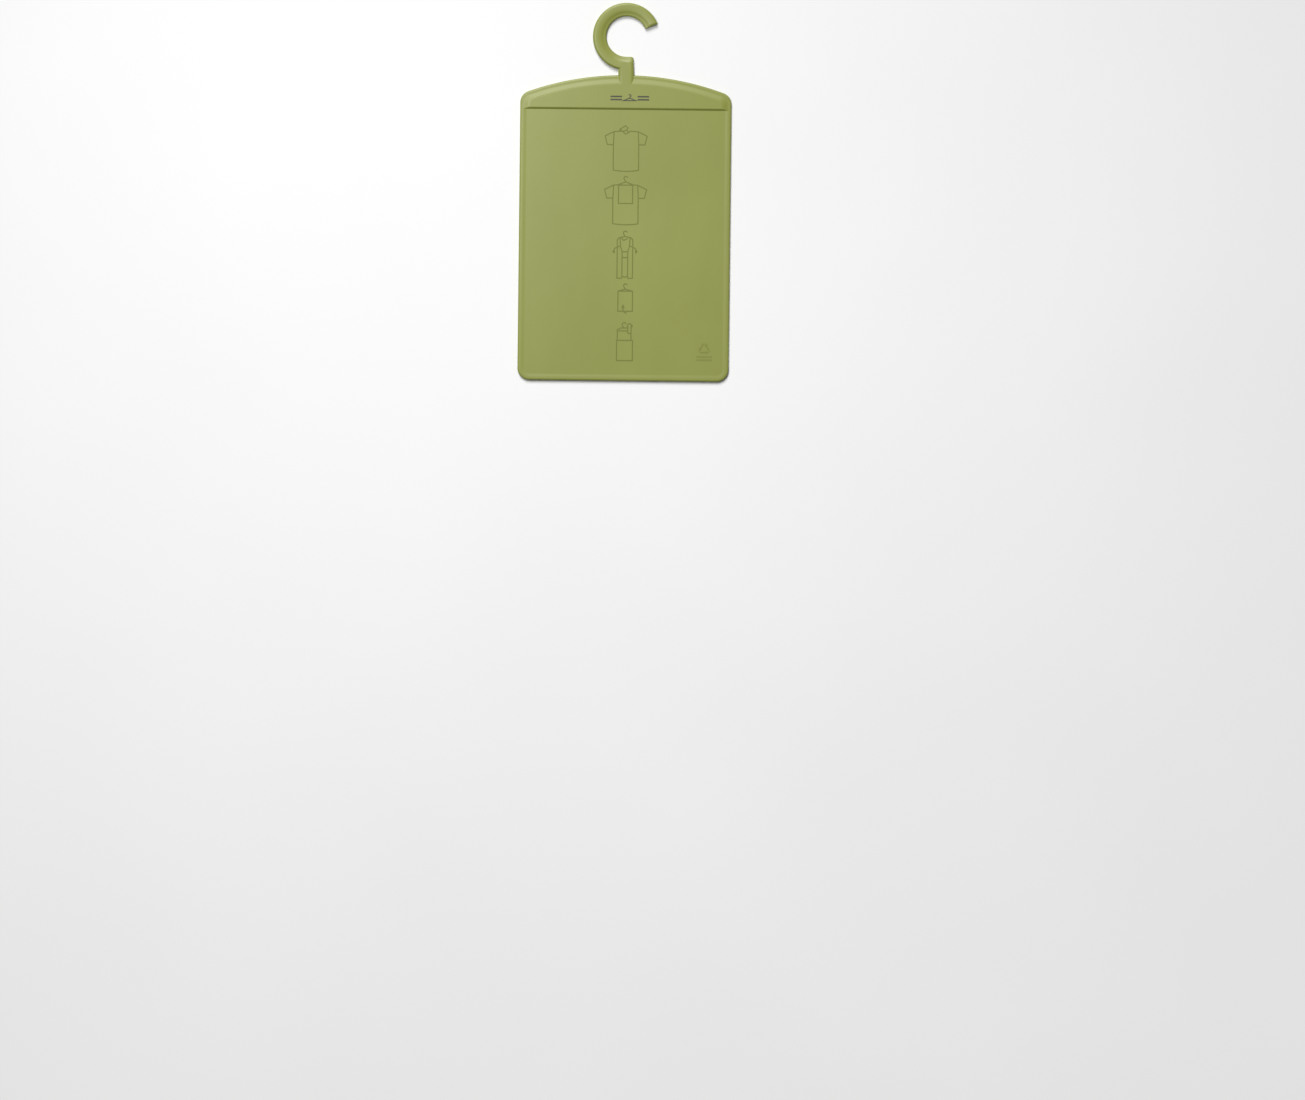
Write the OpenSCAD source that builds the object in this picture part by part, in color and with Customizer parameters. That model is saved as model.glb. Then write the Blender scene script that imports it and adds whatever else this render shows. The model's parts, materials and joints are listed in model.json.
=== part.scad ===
// Shirt folding board with a hanging hook.
//
// The board lies on its back with its front face up. X runs across it, Y from its
// bottom edge to its hook, and Z from its back to its front. The origin is in the
// plane of the back, under the middle of the whole part. The modules measure Y
// from the bottom edge, and placed() moves every piece to the origin.

/* [Board] */
// Width between the two straight sides
board_w = 218.4; // [208:0.1:240]
// Height from the bottom edge to the crown of the curved top
board_h = 316.3; // [300:0.1:340]
// Radius of the curved top
top_r = 299; // [280:1:340]
// Radius of the four corners
corner_r = 12.5; // [11:0.5:15]
// Thickness of the flat panel
panel_t = 3.4; // [3:0.1:3.6]
// Width of the bead that runs round the edge
bead_w = 3; // [2.8:0.1:3.4]
// Height of the bead above the panel
bead_h = 0.2; // [0.1:0.1:0.4]
// Rounding of the bead's outer edge
edge_r = 1.9; // [1:0.1:2.1]

/* [Head] */
// Height of the raised head, from its step to the crown of the board
head_h = 36; // [35:0.1:42]
// Height of the head's face above the back
head_z = 4.8; // [4.7:0.1:5.4]
// Width of the head's slopes along the straight sides
slope_w = 7.4; // [6.8:0.1:7.8]
// Width of the head's slope along the curved top
slope_top_w = 7.2; // [6.6:0.1:7.4]
// Radius of the corners of the head's face
face_corner_r = 5; // [4:0.5:6]
// Height of the rounding between the slopes and the head's face
face_soft = 0.2; // [0.1:0.1:0.3]
// Distance that the step's wall leans back
step_lean = 1.9; // [1:0.1:2.2]
// Wall of the hollow head cap
cap_wall = 0.8; // [0.7:0.1:0.9]

/* [Hook] */
// Radius of the round opening in the hook
hook_r = 20.9; // [19:0.1:22]
// Width of the hook's band
band_w = 14; // [13.5:0.1:15]
// Distance from the crown of the board to the centre of the hook's opening
hook_rise = 39.9; // [39:0.1:41]
// Angle of the hook's tip above the horizontal
tip_angle = 22.3; // [10:0.1:40]
// Width of the slope on the band's front, from its ridge to the opening
inner_slope_w = 5.7; // [5:0.1:6.5]
// Distance that the slope falls from the ridge to the rounding
inner_fall = 1; // [0.8:0.1:1.4]
// Width of the roundings along the band's front edges
soft_w = 2.6; // [2:0.1:3]
// Height of the roundings along the band's front edges
soft_h = 2.6; // [2.4:0.1:2.8]
// Rounding of the hook's back edges
hook_back_r = 0.8; // [0.4:0.1:1]
// Width of the stem where it meets the board
stem_w = 16.4; // [15:0.1:17]
// Width of the stem where it meets the hook's opening
stem_top_w = 14.8; // [14:0.1:15]
// Radius of the corner at the top of the stem
stem_corner_r = 2.6; // [2:0.1:3]
// Width of the stem's flat front face
stem_face_w = 8.8; // [8:0.1:9.4]
// Height of the rounded flanks beside the stem's face
flank_h = 2.4; // [2:0.1:2.5]

/* [Fastening] */
// Clearance between pieces that fit into each other
clearance = 0.1; // [0.05:0.05:0.15]
// Thickness of the panel's floor under its pockets
floor_t = 1.8; // [1.4:0.1:2]
// Width of the hook's tang, under the head cap
tang_w = 40; // [36:1:46]
// Distance from the head's step to the tang
tang_inset = 7; // [6:0.5:8]
// Distance from the tang to the wall of the head cap
tang_play = 0.5; // [0.3:0.1:1]
// Panel left standing between the bead and the end of the pocket
pocket_wall = 1; // [0.8:0.1:1.4]
// Distance between the two pegs that hold the tang
peg_spacing = 27; // [24:1:30]
// Radius of the tang's pegs
peg_r = 2.4; // [2:0.1:2.8]
// Distance between neighbouring posts of the head cap
post_spacing = 55; // [50:1:58]
// Distance from the head's step to the posts
post_inset = 9; // [8:0.5:11]
// Radius of the head cap's posts
post_r = 1.6; // [1.4:0.1:2]
// Wall of the sockets that take the posts
socket_wall = 2; // [1.6:0.1:2.4]

/* [Printing] */
// Thickness of the printed ink
ink_t = 0.06; // [0.04:0.01:0.1]
// Width of the printed lines
line_w = 1.1; // [0.8:0.1:1.2]
// Distance of the column of drawings from the centre line
drawing_x = 0.7; // [-2:0.1:2]
// Height of the first drawing above the bottom edge
drawing_1_y = 217.9; // [215:0.1:221]
// Height of the second drawing above the bottom edge
drawing_2_y = 162.6; // [160:0.1:165]
// Height of the third drawing above the bottom edge
drawing_3_y = 106.2; // [104:0.1:109]
// Height of the fourth drawing above the bottom edge
drawing_4_y = 72.1; // [70:0.1:75]
// Height of the fifth drawing above the bottom edge
drawing_5_y = 21; // [19:0.1:24]
// Width of the drawn shirt's body
shirt_w = 26.2; // [24:0.1:28]
// Height of the drawn shirt, from its hem to its shoulders
shirt_h = 39.9; // [38:0.1:41]
// Width of the drawn board
mini_w = 14.6; // [14:0.1:15.5]
// Radius of the hooks on the drawn boards
mini_hook_r = 2; // [1.8:0.1:2.2]
// Width of the mark on the head
head_mark_w = 40; // [30:1:44]
// Height of the mark on the head
head_mark_h = 8; // [7:0.5:9]
// Distance from the head's step to the middle of its mark
head_mark_y = 12.1; // [11:0.1:14]
// Side of the three-sided mark near the corner
loop_mark_w = 16.5; // [14:0.5:17]
// Distance of the three-sided mark from the centre line
loop_mark_x = 83.8; // [80:0.1:86]
// Height of the three-sided mark above the bottom edge
loop_mark_y = 33.8; // [32:0.1:38]

/* [Hidden] */

board_green = "#9fa668";
ink_green = "#838b4e";
ink_grey = "#54564a";

corner_steps = 14;
top_steps = 60;
curve_steps = 10;
round_steps = 5;
band_steps = 7;
corner_points = 3;

// The stem's top stays just under the edge of the hook's opening.
stem_gap = 0.15;

// The centre of the curved top, the step and the hook, from the bottom edge.
top_y = board_h - top_r;
step_y = board_h - head_h;
hook_y = board_h + hook_rise;
hook_outer_r = hook_r + band_w;
total_h = hook_y + hook_outer_r;

// The head cap drops into the recess inside the bead.
bead_z = panel_t + bead_h;
cap_inset = bead_w + clearance;
cavity_z = head_z - cap_wall;
stem_end_y = board_h - cap_inset - slope_top_w;

// The tang lies in a pocket behind the head's step, and its neck reaches the bead.
tang_y = step_y + tang_inset;
tang_end_y = stem_end_y - cap_wall - tang_play;
neck_end_y = board_h - bead_w - pocket_wall;
tang_z = cavity_z - clearance;
peg_y = (tang_y + tang_end_y) / 2;
peg_places = [-0.5, 0.5] * peg_spacing;
post_y = step_y + post_inset;
post_places = [-1.5, -0.5, 0.5, 1.5] * post_spacing;

// ---- Outlines ----

// Points of an arc round a centre, from angle a to angle b. The first can be left out.
function arc(centre, r, a, b, steps, first = 0) = [
    for (i = [first : steps])
        let (t = a + (b - a) * i / steps)
        centre + r * [cos(t), sin(t)]
];

// Points of a smooth curve from a to b that is drawn towards one control point.
function curve(a, control, b) = [
    for (i = [0 : curve_steps])
        let (t = i / curve_steps)
        (1 - t) * (1 - t) * a + 2 * t * (1 - t) * control + t * t * b
];

// The board's outline, drawn in by one distance at the sides and bottom and by
// another at the curved top. The corners blend into the curved top.
function outline(side, top, r) =
    let (
        x = board_w / 2 - side - r,
        curved = top_r - top,
        y = top_y + sqrt((curved - r) ^ 2 - x ^ 2),
        turn = atan2(y - top_y, x)
    )
    concat(
        arc([-x, side + r], r, 180, 270, corner_steps),
        arc([x, side + r], r, 270, 360, corner_steps),
        arc([x, y], r, 0, turn, corner_steps),
        arc([0, top_y], curved, turn, 180 - turn, top_steps, 1),
        arc([-x, y], r, 180 - turn, 180, corner_steps, 1)
    );

// The unit normal of the line from a to b.
function normal(a, b) = let (d = (b - a) / norm(b - a)) [-d.y, d.x];

// The point beside point i of a path, at a distance from its mitred corner.
function beside(path, i, distance) =
    let (
        last = len(path) - 1,
        before = normal(path[max(i, 1) - 1], path[max(i, 1)]),
        after = normal(path[min(i, last - 1)], path[min(i, last - 1) + 1]),
        middle = before + after
    )
    path[i] + middle * 2 * distance / (middle * middle);

// A line of even width along a path.
module line(path, w = line_w) {
    last = len(path) - 1;
    polygon(concat(
        [for (i = [0 : last]) beside(path, i, w / 2)],
        [for (i = [last : -1 : 0]) beside(path, i, -w / 2)]
    ));
}

module both_sides() {
    children();
    mirror([1, 0, 0]) children();
}

// Moves a piece from its place above the bottom edge to the part's origin.
module placed() {
    translate([0, -total_h / 2, 0]) children();
}

// ---- Panel ----

// A quarter-round front edge, made of prisms that step in as they rise.
module rounded_plate(z, r) {
    hull()
        for (a = [0 : 90 / round_steps : 90])
            linear_extrude(z - r + r * sin(a))
                let (inset = r * (1 - cos(a)))
                polygon(outline(inset, inset, corner_r - inset));
}

module plate_with_bead() {
    difference() {
        rounded_plate(bead_z, edge_r);
        translate([0, 0, panel_t])
            linear_extrude(head_z)
            polygon(outline(bead_w, bead_w, corner_r - bead_w));
    }
}

// The tang and its neck, from floor_t up to a height, with a gap round them.
module tang_form(top_z, gap) {
    translate([-tang_w / 2 - gap, tang_y - gap, floor_t])
        cube([tang_w + 2 * gap, tang_end_y - tang_y + 2 * gap, top_z - floor_t]);
    translate([-stem_face_w / 2 - gap, tang_y, floor_t])
        cube([stem_face_w + 2 * gap, neck_end_y - tang_y + gap, top_z - floor_t]);
}

// The two pegs that hold the hook's tang.
module tang_pegs() {
    for (x = peg_places)
        translate([x, peg_y, 0])
            cylinder(r = peg_r, h = cavity_z - 2 * clearance);
}

// Places a copy of its children at each post of the head cap.
module at_posts() {
    for (x = post_places)
        translate([x, post_y, 0]) children();
}

module panel() {
    color(board_green)
        placed() {
            difference() {
                union() {
                    plate_with_bead();
                    at_posts() cylinder(r = post_r + socket_wall, h = cavity_z - clearance);
                }
                tang_form(head_z, clearance);
                at_posts()
                    translate([0, 0, floor_t]) cylinder(r = post_r + clearance, h = head_z);
            }
            tang_pegs();
        }
}

// ---- Head cap ----

// One level of the head: the board's outline above the step, drawn in. The slopes
// climb by the given share of their width, and the step's wall leans with them.
module head_level(wall, climb, z, r) {
    inset = cap_inset + wall;
    linear_extrude(z)
        intersection() {
            polygon(outline(inset + climb * slope_w, inset + climb * slope_top_w, r));
            translate([-board_w / 2, step_y + wall + climb * step_lean])
                square([board_w, board_h]);
        }
}

// The head's solid form: a low upright foot inside the bead, then slopes that round
// off into its face. A wall of more than 0 gives the form of the cavity inside.
module head_form(wall) {
    rise = head_z - panel_t - wall;
    shoulder = 0.85;
    foot_r = corner_r - cap_inset - wall / 2;
    face_r = face_corner_r - wall / 2;
    translate([0, 0, panel_t])
        hull() {
            head_level(wall, 0, bead_h, foot_r);
            head_level(wall, shoulder, rise - face_soft, face_r);
            head_level(wall, 1, rise, face_r);
        }
}

// The notch in the head cap's top edge, which fits round the stem. The slope runs
// into the stem's rounded edges, so that the grooves beside the stem fade out.
module stem_notch() {
    face = stem_face_w / 2;
    flank = stem_w / 2 - face + clearance;
    drop = flank_h + clearance;
    top = head_z + clearance;
    right = [
        for (a = [0 : 90 / round_steps : 90])
            [face + flank * cos(a), top - drop + drop * sin(a)]
    ];
    left = [for (i = [round_steps : -1 : 0]) [-right[i].x, right[i].y]];
    translate([0, board_h, 0])
        rotate([90, 0, 0])
        linear_extrude(board_h - stem_end_y + clearance)
        polygon(concat([[right[0].x, 0]], right, left, [[left[round_steps].x, 0]]));
}

module head_cap() {
    color(board_green)
        placed() {
            difference() {
                head_form(0);
                head_form(cap_wall);
                stem_notch();
            }
            at_posts()
                translate([0, 0, floor_t + clearance])
                cylinder(r = post_r, h = cavity_z - floor_t);
        }
}

// ---- Hook ----

// A quarter of an ellipse round a centre, from angle a to a + 90.
function quarter(centre, across, up, a) = [
    for (i = [0 : band_steps])
        let (t = a + 90 * i / band_steps)
        centre + [across * cos(t), up * sin(t)]
];

// The band's cross-section. Its inner wall stands upright between the roundings, and
// its front slopes down from a ridge towards the opening.
function band_profile() =
    let (soft_z = head_z - soft_h)
    concat(
        arc([hook_r + hook_back_r, hook_back_r], hook_back_r, 180, 270, round_steps),
        arc([hook_outer_r - hook_back_r, hook_back_r], hook_back_r, 270, 360, round_steps),
        quarter([hook_outer_r - soft_w, soft_z], soft_w, soft_h, 0),
        [[hook_r + inner_slope_w, head_z]],
        quarter([hook_r + soft_w, soft_z], soft_w, soft_h - inner_fall, 90)
    );

// The band runs from the tip round to a little past the middle of the stem.
module hook_band() {
    past_stem = 5;
    translate([0, hook_y, 0])
        rotate([0, 0, tip_angle])
        rotate_extrude(angle = 270 + past_stem - tip_angle, $fn = 128)
        polygon(band_profile());
}

// The stem's outline, from its foot to just under the edge of the hook's opening. It
// draws in from the stem's silhouette, at 0, to its flat front face, at 1. One side
// runs straight up into the band, and the other ends in a rounded corner.
function stem_outline(share) =
    let (
        face = stem_face_w / 2,
        top = hook_y - hook_r - stem_gap - inner_slope_w * sqrt(share),
        foot_x = stem_w / 2 * (1 - share) + face * share,
        top_x = stem_top_w / 2 * (1 - share) + face * share,
        r = stem_corner_r
    )
    concat(
        [[-foot_x, stem_end_y], [foot_x, stem_end_y], [foot_x, board_h]],
        arc([top_x - r, top - r], r, 0, 90, corner_points),
        [[-top_x / 2, top], [-foot_x, top - band_w / 2]]
    );

// The stem lies on the bead where it crosses the panel, and is as thick as the
// hook beyond the crown.
module stem() {
    difference() {
        hull()
            for (a = [0 : 90 / round_steps : 90])
                linear_extrude(head_z - flank_h + flank_h * sin(a))
                    polygon(stem_outline(1 - cos(a)));
        translate([-stem_w, 0, -bead_z])
            cube([2 * stem_w, board_h + clearance, 2 * bead_z]);
    }
}

// A plate in the panel's pocket, under the head cap, with holes for the pegs.
module tang() {
    difference() {
        tang_form(tang_z, 0);
        for (x = peg_places)
            translate([x, peg_y, 0])
                cylinder(r = peg_r + clearance, h = head_z);
    }
}

module hook() {
    color(board_green)
        placed() {
            hook_band();
            stem();
            tang();
        }
}

// ---- Printed drawings ----

// Prints a flat drawing on the panel, at a height above the bottom edge.
module printed(y, z = panel_t, x = drawing_x) {
    placed()
        translate([x, y, z])
        linear_extrude(ink_t)
        children();
}

// A short-sleeved shirt, with the middle of its hem's ends at the origin.
module shirt_lines() {
    half = shirt_w / 2;
    armpit = 0.66 * shirt_h;
    both_sides() {
        line([
            [0.15 * shirt_w, shirt_h + 0.5],
            [half - 0.6, shirt_h],
            [0.83 * shirt_w, 0.885 * shirt_h],
            [0.74 * shirt_w, armpit],
            [half, armpit]
        ]);
        line([[half - 0.6, shirt_h], [half, armpit], [half, -line_w / 4]]);
    }
    line(curve([-half, 0], [0, -2.2], [half, 0]));
}

// The hook of a drawn board, with its foot at the origin.
module mini_hook() {
    r = mini_hook_r;
    line(concat(
        arc([0.2, 1.8 * r], r, 20, 215, curve_steps),
        [[-0.5, 0.4 * r], [0.4, -line_w / 4]]
    ));
}

// The top of a drawn board: a hook on a low peak between two shoulders.
module mini_top(w, peak) {
    translate([0, peak]) mini_hook();
    line([[-w / 2, 0], [0, peak], [w / 2, 0]]);
}

module mini_box(w, h) {
    difference() {
        square([w + line_w, h + line_w], center = true);
        square([w - line_w, h - line_w], center = true);
    }
}

// A filled arrowhead at a point, turned to an angle.
module arrowhead(at, angle, size = 2.6) {
    translate(at)
        rotate(angle)
        polygon([[size, 0], [-size / 3, size / 1.6], [-size / 3, -size / 1.6]]);
}

// The shirt's collar, seen from its back, with the shoulder line at the origin.
module collar_lines() {
    line([[-7.2, 0.4], [-6.4, 2.6], [-0.6, 6], [1.8, 3.8], [0.4, 1.6]]);
    line([[-6.4, 2.6], [-3.6, 0.2], [-0.6, -2.6], [3.2, -0.4]]);
    line([[-3.6, 0.2], [0.4, 1.6], [2, -0.6], [4.2, 0.5]]);
}

module drawing_1_shirt_face_down() {
    color(ink_green)
        printed(drawing_1_y) {
            shirt_lines();
            translate([0, shirt_h]) collar_lines();
        }
}

module drawing_2_board_on_shirt() {
    box_h = 0.475 * shirt_h;
    color(ink_green)
        printed(drawing_2_y) {
            shirt_lines();
            translate([0, shirt_h - box_h / 2]) mini_box(mini_w, box_h);
            translate([0, shirt_h + 0.6]) mini_top(mini_w, 2.8);
        }
}

// A shirt with its sides and sleeves folded in over the board.
module drawing_3_sides_folded() {
    w = mini_w + 1.4;
    h = 41.5;
    lap = 2.9;
    elbow = 0.66 * h;
    color(ink_green)
        printed(drawing_3_y) {
            translate([0, h + 0.4]) mini_top(w - 3.4, 1.2);
            both_sides() {
                line([[lap, 0], [w / 2, 0], [w / 2, h - 1.8], [w / 2 - 1.7, h + 0.4]]);
                line([[w / 2 - 2.8, h + 0.4], [w / 2 - 3.4, h - 9], [lap, elbow], [lap, 0]]);
                line([[w / 2 - 3.2, h - 8], [w / 2 + 2.6, h - 10.6], [w / 2 + 3.8, h - 13.4]]);
                arrowhead([w / 2 + 3.6, h - 14], -104);
            }
            line([[-3.8, h + 0.6], [-1.6, h - 2.4], [2.8, h - 0.4]]);
            line([[-lap, elbow], [lap, elbow]]);
            line([[-lap, elbow - 6], [lap, elbow - 6]]);
            line(curve([-lap, 2.2], [0, 0.4], [lap, 2.2]));
        }
}

// The lower half folded up over the board, with a turning arrow.
module drawing_4_hem_folded_up() {
    w = mini_w + 0.4;
    h = 20.8;
    color(ink_green)
        printed(drawing_4_y, x = drawing_x + 0.8) {
            translate([0, h / 2]) mini_box(w, h);
            translate([0, h]) mini_top(w, 2);
            line([[1.6, -2], [-0.8, -1.2], [-2.2, 0.8], [-2.2, 3.6]]);
            arrowhead([-2.2, 4.4], 90, 3);
        }
}

// The finished fold, with an arrow that draws the board out at the top.
module drawing_5_folded_shirt() {
    w = mini_w + 1.8;
    fold = 21;
    top = 33.8;
    color(ink_green)
        printed(drawing_5_y, x = drawing_x + 0.6) {
            translate([0, fold / 2]) mini_box(w, fold);
            line([
                [-w / 2 + 0.6, fold],
                [-w / 2 + 0.6, top - 1.8],
                [-w / 2 + 4.2, top],
                [w / 2 - 4.4, top]
            ]);
            line([[-w / 2 + 0.6, top - 3], [w / 2 - 5.4, top - 3]]);
            translate([-0.8, top]) mini_hook();
            line([[w / 2 - 1.6, fold], [w / 2 - 1.6, top + 1.4]]);
            line([[w / 2 - 5, top - 5.6], [w / 2 - 5, top + 2]]);
            line([[w / 2 - 5, top - 5.6], [w / 2 - 1.6, top - 5.6]]);
            line(arc([w / 2 - 3.3, top + 2], 2.4, 20, 190, curve_steps));
            arrowhead([w / 2 - 1, top + 2.2], -80, 2.2);
        }
}

// ---- Printed marks ----

// A coat hanger, with the foot of its hook at the origin.
module hanger_sign(w) {
    thick = 1;
    drop = 2.6;
    hook_size = 1.2;
    line([[-w * 0.8, -drop], [0, 0], [w * 0.8, -drop]], thick);
    line([[-w * 0.95, -drop], [w * 0.95, -drop]], thick);
    line([[0, -thick / 2], [0, hook_size]], thick);
    line(arc([0, 2 * hook_size], hook_size, -90, 150, curve_steps), thick);
}

// A coat-hanger sign between pairs of bars, printed on the head.
module head_mark() {
    bar_h = head_mark_h / 5;
    reach = head_mark_w / 2;
    sign_w = head_mark_w / 5;
    color(ink_grey)
        printed(step_y + head_mark_y, head_z, 4) {
            both_sides()
                for (y = [-1, 1] * bar_h)
                    translate([sign_w, y - bar_h / 2])
                        square([reach - sign_w, bar_h]);
            hanger_sign(sign_w);
        }
}

// One side of the three-sided loop, ending in an arrowhead.
module loop_arm() {
    side = loop_mark_w * 0.56;
    translate([0, -side / 2.6]) {
        line([[-side / 2, 0], [side / 4, 0]], 1.5);
        arrowhead([side / 4, 0], 0, 3);
    }
}

// A loop of three arrows above two bars, printed near the lower right corner.
module material_mark() {
    bar_h = 1.6;
    color(ink_green)
        printed(loop_mark_y, x = loop_mark_x) {
            for (turn = [0, 120, 240])
                rotate(turn) loop_arm();
            for (share = [0.54, 0.74])
                translate([-loop_mark_w / 2, -share * loop_mark_w])
                    square([loop_mark_w, bar_h]);
        }
}

panel();
head_cap();
hook();
drawing_1_shirt_face_down();
drawing_2_board_on_shirt();
drawing_3_sides_folded();
drawing_4_hem_folded_up();
drawing_5_folded_shirt();
head_mark();
material_mark();
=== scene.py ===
"""Looks of a shirt folding board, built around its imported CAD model.

The panel, the head cap and the hook get finer meshes than their CAD solids, with true
roundings. The printed drawings and marks stay CAD solids. Everything is in metres, in
the frame of the CAD model: the board lies on its back, with +Y towards its hook and +Z
out of its front.
"""
import json
import math

import bpy
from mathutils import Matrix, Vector


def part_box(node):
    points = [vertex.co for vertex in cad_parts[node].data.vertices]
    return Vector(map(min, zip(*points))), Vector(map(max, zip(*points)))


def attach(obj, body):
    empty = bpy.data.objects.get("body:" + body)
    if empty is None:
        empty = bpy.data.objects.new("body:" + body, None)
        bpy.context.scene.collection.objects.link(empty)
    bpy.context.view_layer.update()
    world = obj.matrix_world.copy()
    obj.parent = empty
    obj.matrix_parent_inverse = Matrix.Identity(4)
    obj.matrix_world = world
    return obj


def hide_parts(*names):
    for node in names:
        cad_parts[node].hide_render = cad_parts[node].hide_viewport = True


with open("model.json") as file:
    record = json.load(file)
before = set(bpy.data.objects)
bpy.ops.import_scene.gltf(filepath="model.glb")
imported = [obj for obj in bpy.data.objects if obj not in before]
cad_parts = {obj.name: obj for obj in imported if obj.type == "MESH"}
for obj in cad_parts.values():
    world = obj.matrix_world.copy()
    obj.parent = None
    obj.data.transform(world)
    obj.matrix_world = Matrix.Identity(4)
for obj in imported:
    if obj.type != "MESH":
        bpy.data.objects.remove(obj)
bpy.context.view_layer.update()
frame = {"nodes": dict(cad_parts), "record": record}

MM = 0.001

# ---- Places and sizes that the CAD model gives ----

panel_low, panel_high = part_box("panel")
cap_low, cap_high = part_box("head_cap")
HALF_WIDTH = panel_high.x
BOTTOM = panel_low.y
CROWN = panel_high.y
STEP = cap_low.y
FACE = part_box("drawing_1_shirt_face_down")[0].z
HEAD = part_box("head_mark")[0].z
CAP_INSET = panel_high.x - cap_high.x

hook_seat = next(m for m in frame["record"]["mounts"] if m["name"] == "hook_seat")
HOOK_CENTRE = hook_seat["pos_m"][1]
HOOK_R = hook_seat["dims"]["r_mm"] * MM
HOOK_OUTER_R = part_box("hook")[1].y - HOOK_CENTRE

# ---- Sizes that the CAD model's boxes don't give ----

TOP_R = 299 * MM
CORNER_R = 12.5 * MM
BEAD_H = 0.2 * MM
BEAD_CREST = 3.2 * MM
BEAD_FOOT = 7 * MM
EDGE_R = 1.9 * MM
BACK_R = 0.8 * MM
SMALLEST_R = 2 * MM

SLOPE_W = 7.4 * MM
SLOPE_TOP_W = 7.2 * MM
SLOPE_FOOT_SHARE = 0.2
SLOPE_CREST_SHARE = 0.35
FACE_CORNER_R = 5 * MM
STEP_LEAN = 1.9 * MM
STEP_EDGE_R = 0.4 * MM
STEP_CORNER_R = 0.5 * MM
CAP_WALL = 0.8 * MM

# The band runs round from its tip to a little past the stem's middle, in degrees.
TIP_ANGLE = 22.3
BAND_PAST_STEM = 1

TIP_CORNER_R = 1.2 * MM
INNER_SLOPE_W = 5.7 * MM
INNER_FALL = 1 * MM
SOFT_W = 2.6 * MM
SOFT_H = 2.6 * MM
STEM_W = 16.4 * MM
STEM_TOP_W = 14.8 * MM
STEM_CORNER_R = 2.6 * MM
STEM_FACE_W = 8.8 * MM
FLANK_H = 2.4 * MM

# The gap at a seam, which also serves as a tolerance, and a still finer gap that keeps
# touching faces apart.
SEAM = 0.05 * MM
HAIRLINE = 0.01 * MM

TANG_W = 40 * MM
TANG_INSET = 7 * MM
TANG_PLAY = 0.5 * MM
NECK_INSET = 4 * MM
NECK_OVERLAP = 2 * MM
POCKET_FLOOR = 1.8 * MM
PEG_SPACING = 27 * MM
PEG_R = 2.4 * MM
CLEARANCE = 0.1 * MM
POST_SPACING = 55 * MM
POST_INSET = 9 * MM
POST_R = 1.6 * MM
SOCKET_WALL = 2 * MM

# Narrow rims beside the roundings keep the shading of the large flat faces even.
BACK_RIM = 1 * MM
FRONT_RIM = 0.5 * MM
CAP_RIM = 0.6 * MM

# How far below the head's height the edges wear, at most and at least.
CAP_WEAR = (0.4 * MM, 0.01 * MM)
HOOK_WEAR = (1.2 * MM, 0.05 * MM)

# ---- Sizes that follow ----

BEAD_TOP = FACE + BEAD_H
CAVITY = HEAD - CAP_WALL
STEM_END = CROWN - CAP_INSET - SLOPE_TOP_W
TANG_START = STEP + TANG_INSET
TANG_END = STEM_END - CAP_WALL - TANG_PLAY
PEG_Y = (TANG_START + TANG_END) / 2
POSTS = [(n * POST_SPACING, STEP + POST_INSET) for n in (-1.5, -0.5, 0.5, 1.5)]
PEGS = [(n * PEG_SPACING, PEG_Y) for n in (-0.5, 0.5)]


# ---- Mesh tools ----

CYLINDER_STEPS = 32


def arc(x, y, r, start, end, steps, first=0):
    """Points of an arc round (x, y), from one angle in degrees to another. With first=1
    it leaves out its starting point."""
    angles = (math.radians(start + (end - start) * i / steps) for i in range(first, steps + 1))
    return [(x + r * math.cos(a), y + r * math.sin(a)) for a in angles]


def quarter_turns(steps):
    """Angles in radians from 0 to a quarter turn."""
    return [math.radians(90 * i / steps) for i in range(steps + 1)]


def at_height(points, z):
    """Flat points at a height."""
    return [(x, y, z) for x, y in points]


def new_object(name, vertices, faces):
    """An object with a mesh of its own."""
    mesh = bpy.data.meshes.new(name)
    mesh.from_pydata(vertices, [], faces)
    mesh.validate()
    piece = bpy.data.objects.new(name, mesh)
    bpy.context.scene.collection.objects.link(piece)
    return piece


def loft(name, rings, closed=False):
    """A closed skin over rings of equally many points. The end rings are capped, or the
    last joins the first if the loft is closed."""
    count = len(rings[0])
    vertices = [point for ring in rings for point in ring]
    pairs = list(zip(range(len(rings)), range(1, len(rings))))
    if closed:
        pairs.append((len(rings) - 1, 0))
    faces = [
        (a * count + i, a * count + (i + 1) % count, b * count + (i + 1) % count, b * count + i)
        for a, b in pairs
        for i in range(count)
    ]
    if not closed:
        faces.append(tuple(reversed(range(count))))
        faces.append(tuple((len(rings) - 1) * count + i for i in range(count)))
    return new_object(name, vertices, faces)


def cylinder(x, y, r, low, high):
    """An upright cylinder."""
    circle = arc(x, y, r, 0, 360, CYLINDER_STEPS, first=1)
    return loft("cylinder", [at_height(circle, low), at_height(circle, high)])


def block(x_low, x_high, y_low, y_high, low, high):
    """A rectangular block."""
    corners = [(x_low, y_low), (x_high, y_low), (x_high, y_high), (x_low, y_high)]
    return loft("block", [at_height(corners, low), at_height(corners, high)])


def combine(piece, tool, operation):
    """Adds a tool's solid to a piece, or cuts it away, and removes the tool."""
    modifier = piece.modifiers.new("solid", "BOOLEAN")
    modifier.operation = operation
    modifier.solver = "EXACT"
    modifier.object = tool
    apply_modifiers(piece)
    bpy.data.objects.remove(tool)


def apply_modifiers(piece):
    """Replaces a piece's mesh by what its modifiers make of it."""
    bpy.context.view_layer.update()
    made = bpy.data.meshes.new_from_object(piece.evaluated_get(bpy.context.evaluated_depsgraph_get()))
    piece.modifiers.clear()
    piece.data = made


def shade(piece, sharp_angle=35):
    """Smooth shading that keeps the piece's sharp edges."""
    piece.data.shade_smooth()
    piece.data.set_sharp_from_angle(angle=math.radians(sharp_angle))


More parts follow.
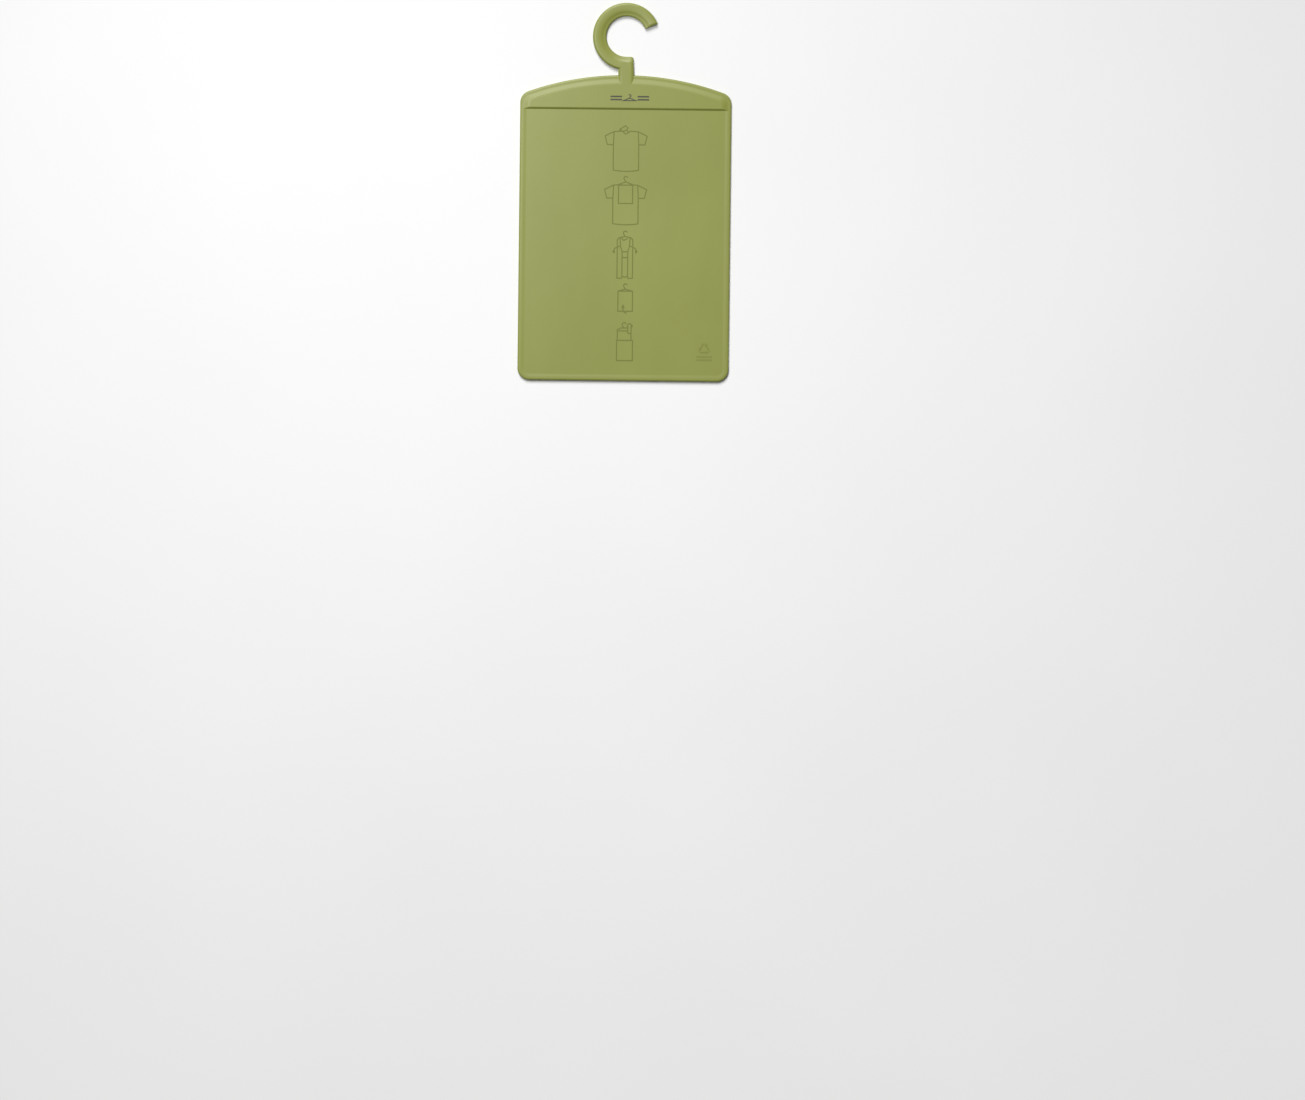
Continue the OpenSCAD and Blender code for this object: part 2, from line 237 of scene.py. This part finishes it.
def mark_wear(piece, wear_of):
    """Stores how worn each point is, from 0 to 1, for the plastic's material."""
    attribute = piece.data.attributes.new("wear", "FLOAT", "POINT")
    for vertex in piece.data.vertices:
        attribute.data[vertex.index].value = wear_of(vertex.co)


# ---- Outlines ----

CORNER_STEPS = 14
TOP_STEPS = 72
STEP_CORNER_STEPS = 4
STEP_POINTS = 5


def top_arc(side, top, r):
    """The board's two upper corners and the curved top between them, drawn in."""
    centre_y = CROWN - TOP_R
    x = HALF_WIDTH - side - r
    curved = TOP_R - top
    y = centre_y + math.sqrt((curved - r) ** 2 - x ** 2)
    turn = math.degrees(math.atan2(y - centre_y, x))
    return (
        arc(x, y, r, 0, turn, CORNER_STEPS)
        + arc(0, centre_y, curved, turn, 180 - turn, TOP_STEPS, first=1)
        + arc(-x, y, r, 180 - turn, 180, CORNER_STEPS, first=1)
    )


def board_outline(inset):
    """The board's outline, drawn in evenly."""
    r = max(CORNER_R - inset, SMALLEST_R)
    x = HALF_WIDTH - inset - r
    low = BOTTOM + inset + r
    lower = arc(-x, low, r, 180, 270, CORNER_STEPS) + arc(x, low, r, 270, 360, CORNER_STEPS)
    return lower + top_arc(inset, inset, r)


def head_outline(climb, lean, r):
    """The head's outline at a share of its slopes' width, cut straight at the step. The
    step has points near its ends, where the cap's foot follows the bead."""
    side = CAP_INSET + climb * SLOPE_W
    half = HALF_WIDTH - side
    low = STEP + lean
    corner = arc(0, 0, STEP_CORNER_R, 270, 360, STEP_CORNER_STEPS)
    flat = half - STEP_CORNER_R
    inner = [(flat - BEAD_FOOT * i / STEP_POINTS, low) for i in range(STEP_POINTS, 0, -1)]
    right = inner + [(flat + x, low + STEP_CORNER_R + y) for x, y in corner]
    left = [(-x, y) for x, y in reversed(right)]
    return left + right + top_arc(side, CAP_INSET + climb * SLOPE_TOP_W, r)


def smooth(t):
    """A share from 0 to 1 that starts and ends level."""
    t = min(1, max(0, t))
    return t * t * (3 - 2 * t)


# ---- Panel ----

BEAD_STEPS = 10


def bead_height(inset):
    """Height of the panel's front at a distance from its outline, inside the bead's crest."""
    return BEAD_TOP - BEAD_H * smooth((inset - BEAD_CREST) / (BEAD_FOOT - BEAD_CREST))


def panel_front(x, y):
    """Height of the panel's front under a point near its sides or curved top."""
    from_top = TOP_R - math.hypot(x, y - (CROWN - TOP_R))
    return bead_height(min(HALF_WIDTH - abs(x), from_top))


def panel_rings():
    """Levels of the panel's skin, from its back, over the bead, down to its front face."""
    back_edge = arc(0, 0, BACK_R, 270, 180, steps=6)
    front_edge = arc(0, 0, EDGE_R, 180, 90, steps=12)
    fall = BEAD_FOOT - BEAD_CREST
    flank = (BEAD_CREST + fall * i / BEAD_STEPS for i in range(BEAD_STEPS + 1))
    levels = [(BACK_R + BACK_RIM, 0)]
    levels += [(BACK_R + x, BACK_R + z) for x, z in back_edge]
    levels += [(EDGE_R + x, BEAD_TOP - EDGE_R + z) for x, z in front_edge]
    levels += [(inset, bead_height(inset)) for inset in flank]
    levels.append((BEAD_FOOT + FRONT_RIM, FACE))
    return [at_height(board_outline(inset), z) for inset, z in levels]


def tang_block(high, gap):
    """The tang and its neck, from the bottom of the pocket up to a height."""
    half = TANG_W / 2 + gap
    neck_half = STEM_FACE_W / 2 + gap
    neck_end = CROWN - NECK_INSET + gap
    plate = block(-half, half, TANG_START - gap, TANG_END + gap, POCKET_FLOOR, high)
    neck = block(-neck_half, neck_half, TANG_END - NECK_OVERLAP, neck_end, POCKET_FLOOR, high)
    combine(plate, neck, "UNION")
    return plate


def panel_wear(co):
    """The outer edge, which rubs on tables and shelves, wears first."""
    from_side = min(HALF_WIDTH - abs(co.x), co.y - BOTTOM)
    return 1.0 if FACE < co.z < BEAD_TOP + SEAM and from_side < BEAD_CREST else 0.0


def make_panel():
    """The board, with the sockets, the pocket for the tang, and its two pegs."""
    piece = loft("panel_moulding", panel_rings())
    for x, y in POSTS:
        ring = cylinder(x, y, POST_R + SOCKET_WALL, POCKET_FLOOR, CAVITY - CLEARANCE)
        combine(piece, ring, "UNION")
        combine(piece, cylinder(x, y, POST_R + CLEARANCE, POCKET_FLOOR, HEAD), "DIFFERENCE")
    combine(piece, tang_block(HEAD, CLEARANCE), "DIFFERENCE")
    for x, y in PEGS:
        combine(piece, cylinder(x, y, PEG_R, POCKET_FLOOR / 2, CAVITY - 2 * CLEARANCE), "UNION")
    mark_wear(piece, panel_wear)
    shade(piece)
    return piece


# ---- Head cap ----

SLOPE_STEPS = 24
NOTCH_PAST_CROWN = 5 * MM


def on_worn_edge(z, wear):
    """Whether a height is on a front edge that wears, a little below the flat face."""
    deepest, shallowest = wear
    return HEAD - deepest < z < HEAD - shallowest


def eased(t, foot, crest):
    """A slope from 0 to 1 that starts and ends level: its pace rises over the share
    called foot and falls over the share called crest."""
    pace = 1 / (1 - foot / 2 - crest / 2)
    if t < foot:
        return pace * t * t / (2 * foot)
    if t > 1 - crest:
        return 1 - pace * (1 - t) ** 2 / (2 * crest)
    return pace * (t - foot / 2)


def slope_height(climb):
    """Height of the head's slope at a share of its width."""
    foot = BEAD_TOP + SEAM
    return foot + (HEAD - foot) * eased(climb, SLOPE_FOOT_SHARE, SLOPE_CREST_SHARE)


def head_level(climb, z, wall=0):
    """One level of the head's skin. The step leans back, and its upper edge is rounded."""
    share = (z - FACE) / (HEAD - wall - FACE)
    up = min(1, max(0, (z + wall - HEAD + STEP_EDGE_R) / STEP_EDGE_R))
    rounding = STEP_EDGE_R * (1 - math.sqrt(1 - up ** 2))
    r = (CORNER_R - CAP_INSET) * (1 - climb) + FACE_CORNER_R * climb
    return at_height(head_outline(climb, wall + STEP_LEAN * share + rounding, r), z)


def head_foot():
    """The cap's lower edge, which follows the front of the panel."""
    outline = head_outline(0, 0, CORNER_R - CAP_INSET)
    return [(x, y, panel_front(x, y) + HAIRLINE) for x, y in outline]


def quarter_profile(x, low, width, height, steps):
    """A quarter-round flank that narrows from x by its width as it rises."""
    return [
        (x - width + width * math.cos(a), low + height * math.sin(a))
        for a in quarter_turns(steps)
    ]


def stem_notch():
    """The space that the head cap leaves for the stem."""
    reach = STEM_W / 2 + SEAM
    flank_w = (STEM_W - STEM_FACE_W) / 2
    right = quarter_profile(reach, HEAD - FLANK_H, flank_w, FLANK_H + SEAM, steps=12)
    left = [(-x, z) for x, z in reversed(right)]
    outline = [(reach, 0), *right, *left, (-reach, 0)]
    ends = (STEM_END - SEAM, CROWN + NOTCH_PAST_CROWN)
    return loft("notch", [[(x, y, z) for x, z in outline] for y in ends])


def head_wear(co):
    """The edge between the slopes or the step and the head's face wears first."""
    return 1.0 if on_worn_edge(co.z, CAP_WEAR) else 0.0


def make_head_cap():
    """The raised head: a skin of even wall with four posts, notched for the stem."""
    climbs = [i / SLOPE_STEPS for i in range(SLOPE_STEPS + 1)]
    outside = [head_level(climb, slope_height(climb)) for climb in climbs]
    rim = head_outline(1 + CAP_RIM / SLOPE_W, STEP_LEAN + STEP_EDGE_R + CAP_RIM, FACE_CORNER_R)
    outside.append(at_height(rim, HEAD))
    hollow = [climb for climb in climbs if slope_height(climb) - CAP_WALL > FACE + SEAM]
    inside = [head_level(climb, slope_height(climb) - CAP_WALL, CAP_WALL) for climb in reversed(hollow)]
    piece = loft("head_cap_moulding", inside + [head_foot()] + outside)
    for x, y in POSTS:
        post = cylinder(x, y, POST_R, POCKET_FLOOR + CLEARANCE, CAVITY + CAP_WALL / 2)
        combine(piece, post, "UNION")
    combine(piece, stem_notch(), "DIFFERENCE")
    mark_wear(piece, head_wear)
    shade(piece)
    return piece


# ---- Hook ----

# Rows on the band's inner slope, from its crest down; they keep its shading flat.
SLOPE_ROWS = (1, 0.9, 0.1)
TIP_STEPS = 15
BAND_STEPS = 110
BACK_EDGE_STEPS = 6
FLANK_STEPS = 18


def band_section(inset=0, drop=0, lift=0):
    """The band's cross-section, as distances from the hook's centre and heights. Its
    sides can be drawn in, its front lowered and its back lifted."""
    inner = HOOK_R + inset
    outer = HOOK_OUTER_R - inset
    soft_z = HEAD - SOFT_H
    slope_w = INNER_SLOPE_W - SOFT_W
    back = arc(inner + BACK_R, BACK_R, BACK_R, 180, 270, steps=5)
    back += arc(outer - BACK_R, BACK_R, BACK_R, 270, 360, steps=5)
    front = quarter_profile(outer, soft_z, SOFT_W, SOFT_H, steps=12)
    for share in SLOPE_ROWS:
        front.append((inner + SOFT_W + slope_w * share, HEAD - INNER_FALL * (1 - share)))
    inner_side = quarter_profile(-inner, soft_z, SOFT_W, SOFT_H - INNER_FALL, steps=12)
    front += [(-x, z) for x, z in reversed(inner_side)]
    return [(x, max(z, lift)) for x, z in back] + [(x, min(z, HEAD - drop)) for x, z in front]


def band_ring(angle, **section):
    """The band's cross-section where it stands at an angle round the hook."""
    a = math.radians(angle)
    return [(r * math.cos(a), HOOK_CENTRE + r * math.sin(a), z) for r, z in band_section(**section)]


def rounded_off(run, width, height):
    """How far a rounded end falls back at a distance from the end."""
    return height * (1 - math.sqrt(1 - (1 - min(run, width) / width) ** 2))


def hook_band():
    """The round band, with its edges rounded off at the tip."""
    per_run = 180 / math.pi / ((HOOK_R + HOOK_OUTER_R) / 2)
    rings = []
    for run in (SOFT_W * (1 - math.cos(a)) for a in quarter_turns(TIP_STEPS)):
        inset = rounded_off(run, TIP_CORNER_R, TIP_CORNER_R)
        drop = rounded_off(run, SOFT_W, SOFT_H)
        lift = rounded_off(run, BACK_R, BACK_R)
        rings.append(band_ring(TIP_ANGLE + run * per_run, inset=inset, drop=drop, lift=lift))
    start = TIP_ANGLE + SOFT_W * per_run
    end = 270 + BAND_PAST_STEM
    rings += [band_ring(start + (end - start) * i / BAND_STEPS) for i in range(1, BAND_STEPS + 1)]
    return loft("hook_moulding", rings)


def fall_at(z):
    """How far the band's front has drawn back from the opening at a height."""
    if z < BACK_R:
        return rounded_off(z, BACK_R, BACK_R)
    up = (z - HEAD + SOFT_H) / (SOFT_H - INNER_FALL)
    if up <= 1:
        return SOFT_W * (1 - math.sqrt(1 - max(0, up) ** 2))
    return SOFT_W + (INNER_SLOPE_W - SOFT_W) * (z - HEAD + INNER_FALL) / INNER_FALL


def stem_level(z):
    """The stem's outline at a height, between its rounded back and front edges."""
    flank_w = (STEM_W - STEM_FACE_W) / 2
    up = max(0, (z - HEAD + FLANK_H) / FLANK_H)
    side = flank_w * (1 - math.sqrt(max(0, 1 - up ** 2))) + rounded_off(z, BACK_R, BACK_R)
    top_side = side * (STEM_TOP_W - STEM_FACE_W) / (STEM_W - STEM_FACE_W)
    top = HOOK_CENTRE - HOOK_R - fall_at(z) - HAIRLINE
    foot_x = STEM_W / 2 - side
    top_x = STEM_TOP_W / 2 - top_side
    r = STEM_CORNER_R
    outline = [
        (-foot_x, STEM_END),
        (foot_x, STEM_END),
        (foot_x, CROWN),
        *arc(top_x - r, top - r, r, 0, 90, steps=8),
        (-top_x / 2, top),
        (-foot_x, HOOK_CENTRE - (HOOK_R + HOOK_OUTER_R) / 2),
    ]
    return at_height(outline, z)


def hook_stem():
    """The stem, which lies on the bead where it crosses the panel."""
    back = [BACK_R * (1 - math.cos(a)) for a in quarter_turns(BACK_EDGE_STEPS)]
    front = [HEAD - FLANK_H + FLANK_H * math.sin(a) for a in quarter_turns(FLANK_STEPS)]
    piece = loft("stem", [stem_level(z) for z in back + front])
    over_panel = block(-STEM_W, STEM_W, BOTTOM, CROWN + CLEARANCE, -HEAD, BEAD_TOP)
    combine(piece, over_panel, "DIFFERENCE")
    return piece


def hook_tang():
    """The plate under the head cap, with holes for the panel's pegs."""
    piece = tang_block(CAVITY - CLEARANCE, 0)
    for x, y in PEGS:
        combine(piece, cylinder(x, y, PEG_R + CLEARANCE, 0, HEAD), "DIFFERENCE")
    return piece


def hook_wear(co):
    """The band's front edges and its inner wall, where it hangs, wear first."""
    hangs = math.hypot(co.x, co.y - HOOK_CENTRE) < HOOK_R + SEAM
    return 1.0 if hangs or on_worn_edge(co.z, HOOK_WEAR) else 0.0


def make_hook():
    """The band, its stem and its tang, in one piece."""
    piece = hook_band()
    combine(piece, hook_stem(), "UNION")
    combine(piece, hook_tang(), "UNION")
    mark_wear(piece, hook_wear)
    shade(piece, sharp_angle=28)
    return piece


# ---- Materials ----

# Where a mix node has its colour sockets.
MIX_FIRST = 6
MIX_SECOND = 7
MIX_RESULT = 2


class Nodes:
    """A short way to write a material's node tree."""

    def __init__(self, name):
        self.material = bpy.data.materials.new(name)
        self.material.use_nodes = True
        self.tree = self.material.node_tree
        self.shader = self.tree.nodes["Principled BSDF"]

    def node(self, kind, settings=None, **inputs):
        """A node, its settings, and its inputs: a value, or the socket that feeds it."""
        made = self.tree.nodes.new(kind)
        for key, value in (settings or {}).items():
            setattr(made, key, value)
        for key, value in inputs.items():
            self.feed(made.inputs[key.replace("_", " ")], value)
        return made

    def feed(self, socket_in, value):
        """Links an input to the socket that feeds it, or sets its value."""
        if isinstance(value, bpy.types.NodeSocket):
            self.tree.links.new(value, socket_in)
        else:
            socket_in.default_value = value

    def place(self, stretch):
        """Object coordinates, stretched along each axis."""
        coordinates = self.node("ShaderNodeTexCoord").outputs["Object"]
        mapping = self.node("ShaderNodeMapping", Vector=coordinates, Scale=stretch)
        return mapping.outputs["Vector"]

    def noise(self, scale, detail, stretch=(1, 1, 1)):
        """Soft noise from 0 to 1 over the object; a larger scale is finer."""
        place = self.place(stretch)
        made = self.node("ShaderNodeTexNoise", Vector=place, Scale=scale, Detail=detail)
        return made.outputs["Fac"]

    def spread(self, value, low, high, to_low=0.0, to_high=1.0):
        """A value's range from low to high, mapped to another range."""
        made = self.node("ShaderNodeMapRange", Value=value)
        made.inputs["From Min"].default_value = low
        made.inputs["From Max"].default_value = high
        made.inputs["To Min"].default_value = to_low
        made.inputs["To Max"].default_value = to_high
        return made.outputs["Result"]

    def math(self, operation, a, b):
        """What an operation makes of two values."""
        made = self.node("ShaderNodeMath", {"operation": operation})
        self.feed(made.inputs[0], a)
        self.feed(made.inputs[1], b)
        return made.outputs[0]

    def blend(self, share, a, b):
        """A colour between two colours."""
        made = self.node("ShaderNodeMix", {"data_type": "RGBA"})
        self.feed(made.inputs["Factor"], share)
        self.feed(made.inputs[MIX_FIRST], a)
        self.feed(made.inputs[MIX_SECOND], b)
        return made.outputs[MIX_RESULT]

    def bump(self, height, strength, distance, under=None):
        """A surface direction that follows a height, on top of another bump if given."""
        made = self.node("ShaderNodeBump", Height=height, Strength=strength, Distance=distance)
        if under is not None:
            self.feed(made.inputs["Normal"], under)
        return made.outputs["Normal"]


BOARD_DEEP = (0.226, 0.249, 0.044, 1)
BOARD_GREEN = (0.250, 0.275, 0.052, 1)
BOARD_PALE = (0.360, 0.385, 0.150, 1)
CLOUD_SHARE = 0.6
EDGE_PALENESS = 0.06
SCUFF_ROUGHNESS = 0.08

# Each ink's colour where it is thick and where it is thin.
GREEN_INK = ((0.142, 0.160, 0.020, 1), (0.185, 0.206, 0.032, 1))
FAINT_INK = ((0.188, 0.208, 0.032, 1), (0.224, 0.246, 0.044, 1))
GREY_INK = ((0.050, 0.052, 0.034, 1), (0.120, 0.130, 0.065, 1))

FLOOR_DARK = (0.84, 0.84, 0.84, 1)
FLOOR_LIGHT = (0.86, 0.86, 0.86, 1)


def moulded_plastic():
    """Satin moulded plastic: a fine grain, faint clouds and flow marks in its colour, fine
    scuffs, and paler, worn edges."""
    n = Nodes("moulded_plastic")
    clouds = n.spread(n.noise(scale=9, detail=4), 0.3, 0.7)
    flow = n.spread(n.noise(scale=22, detail=3, stretch=(1, 0.25, 1)), 0.35, 0.65)
    cloudy = n.math("MULTIPLY", clouds, CLOUD_SHARE)
    streaked = n.math("MULTIPLY", flow, 1 - CLOUD_SHARE)
    colour = n.blend(n.math("ADD", cloudy, streaked), BOARD_DEEP, BOARD_GREEN)
    wear = n.node("ShaderNodeAttribute", {"attribute_name": "wear"}).outputs["Fac"]
    broken = n.spread(n.noise(scale=420, detail=5), 0.42, 0.68)
    worn = n.math("MULTIPLY", n.math("MULTIPLY", wear, broken), EDGE_PALENESS)
    colour = n.blend(worn, colour, BOARD_PALE)
    n.feed(n.shader.inputs["Base Color"], colour)

    scuffs = n.spread(n.noise(scale=60, detail=6, stretch=(1, 14, 1)), 0.62, 0.72)
    polish = n.spread(n.noise(scale=14, detail=3), 0.3, 0.7, to_low=0.38, to_high=0.44)
    scuffed = n.math("MULTIPLY", scuffs, SCUFF_ROUGHNESS)
    n.feed(n.shader.inputs["Roughness"], n.math("ADD", polish, scuffed))
    n.shader.inputs["Specular IOR Level"].default_value = 0.6

    grain = n.noise(scale=2600, detail=2)
    ripple = n.noise(scale=30, detail=2)
    rough = n.bump(grain, strength=0.35, distance=0.02 * MM)
    uneven = n.bump(ripple, strength=0.15, distance=0.4 * MM, under=rough)
    n.feed(n.shader.inputs["Normal"], uneven)
    return n.material


def printed_ink(name, deep, pale, fade):
    """A thin layer of matt ink that fades to its pale colour in places."""
    n = Nodes(name)
    thin = n.spread(n.noise(scale=700, detail=4), 0.35, 0.75)
    cloud = n.spread(n.noise(scale=60, detail=2), 0.3, 0.7)
    share = n.math("MULTIPLY", n.math("MULTIPLY", thin, cloud), fade)
    n.feed(n.shader.inputs["Base Color"], n.blend(share, deep, pale))
    n.feed(n.shader.inputs["Roughness"], n.spread(cloud, 0, 1, to_low=0.55, to_high=0.68))
    rough = n.bump(n.noise(scale=1800, detail=3), strength=0.3, distance=0.015 * MM)
    n.feed(n.shader.inputs["Normal"], rough)
    return n.material


def pale_floor():
    """A matt, nearly white studio floor."""
    n = Nodes("pale_floor")
    tone = n.spread(n.noise(scale=3, detail=2), 0.3, 0.7)
    n.feed(n.shader.inputs["Base Color"], n.blend(tone, FLOOR_DARK, FLOOR_LIGHT))
    n.shader.inputs["Roughness"].default_value = 0.9
    n.shader.inputs["Specular IOR Level"].default_value = 0.1
    return n.material


def set_material(piece, material):
    """Gives a piece this one material."""
    piece.data.materials.clear()
    piece.data.materials.append(material)


# ---- The object ----

def stand_for(piece, node, material):
    """Puts a finer piece in a CAD node's place."""
    set_material(piece, material)
    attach(piece, "root")
    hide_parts(node)


def make_board():
    """The three moulded pieces, which share one plastic."""
    plastic = moulded_plastic()
    stand_for(make_panel(), "panel", plastic)
    stand_for(make_head_cap(), "head_cap", plastic)
    stand_for(make_hook(), "hook", plastic)


def colour_prints():
    """Gives the CAD model's drawings and marks their inks."""
    green = printed_ink("green_ink", *GREEN_INK, fade=0.6)
    faint = printed_ink("faint_green_ink", *FAINT_INK, fade=0.6)
    grey = printed_ink("grey_ink", *GREY_INK, fade=0.5)
    inks = {"head_mark": grey, "material_mark": faint}
    for name, node in frame["nodes"].items():
        if name.startswith("drawing") or name in inks:
            set_material(node, inks.get(name, green))


# ---- Floor, light and camera ----

def make_floor():
    """A floor level with the board's back."""
    size = 12
    corners = [(-size, -size, 0), (size, -size, 0), (size, size, 0), (-size, size, 0)]
    floor = new_object("floor", corners, [(0, 1, 2, 3)])
    set_material(floor, pale_floor())


def area_light(name, place, size, power):
    """A soft square light that faces the board's middle."""
    light = bpy.data.lights.new(name, "AREA")
    light.size = size
    light.energy = power
    lamp = bpy.data.objects.new(name, light)
    lamp.location = place
    lamp.rotation_euler = (-Vector(place)).to_track_quat("-Z", "Y").to_euler()
    bpy.context.scene.collection.objects.link(lamp)


def sun_light(name, direction, softness, strength):
    """A distant, soft light that comes from a direction and lights the floor evenly."""
    light = bpy.data.lights.new(name, "SUN")
    light.angle = math.radians(softness)
    light.energy = strength
    lamp = bpy.data.objects.new(name, light)
    lamp.rotation_euler = (-Vector(direction)).to_track_quat("-Z", "Y").to_euler()
    bpy.context.scene.collection.objects.link(lamp)


def make_light():
    """Soft light from beyond the hook, a lamp up on the left, and a weak even fill."""
    fill = 0.15
    sun_light("overhead", direction=(-0.25, 1, 1), softness=30, strength=2.95)
    area_light("window", place=(-0.38, 0.2, 1.15), size=0.4, power=5.4)
    world = bpy.data.worlds.new("studio")
    world.use_nodes = True
    background = world.node_tree.nodes["Background"]
    background.inputs["Color"].default_value = (1, 1, 1, 1)
    background.inputs["Strength"].default_value = fill
    bpy.context.scene.world = world
    bpy.context.scene.view_settings.view_transform = "Standard"


def make_camera():
    """Straight above, looking down, with the board in the upper middle of the frame and
    turned by a hair."""
    frame_width = 1.35
    middle = (0.0326, -0.370)
    turn = 0.011
    data = bpy.data.cameras.new("camera")
    data.lens = 180
    data.sensor_width = 36
    height = frame_width * data.lens / data.sensor_width
    camera = bpy.data.objects.new("camera", data)
    camera.location = (*middle, height)
    camera.rotation_euler = (0, 0, turn)
    bpy.context.scene.collection.objects.link(camera)
    bpy.context.scene.camera = camera


make_camera()
make_floor()
make_light()
make_board()
colour_prints()
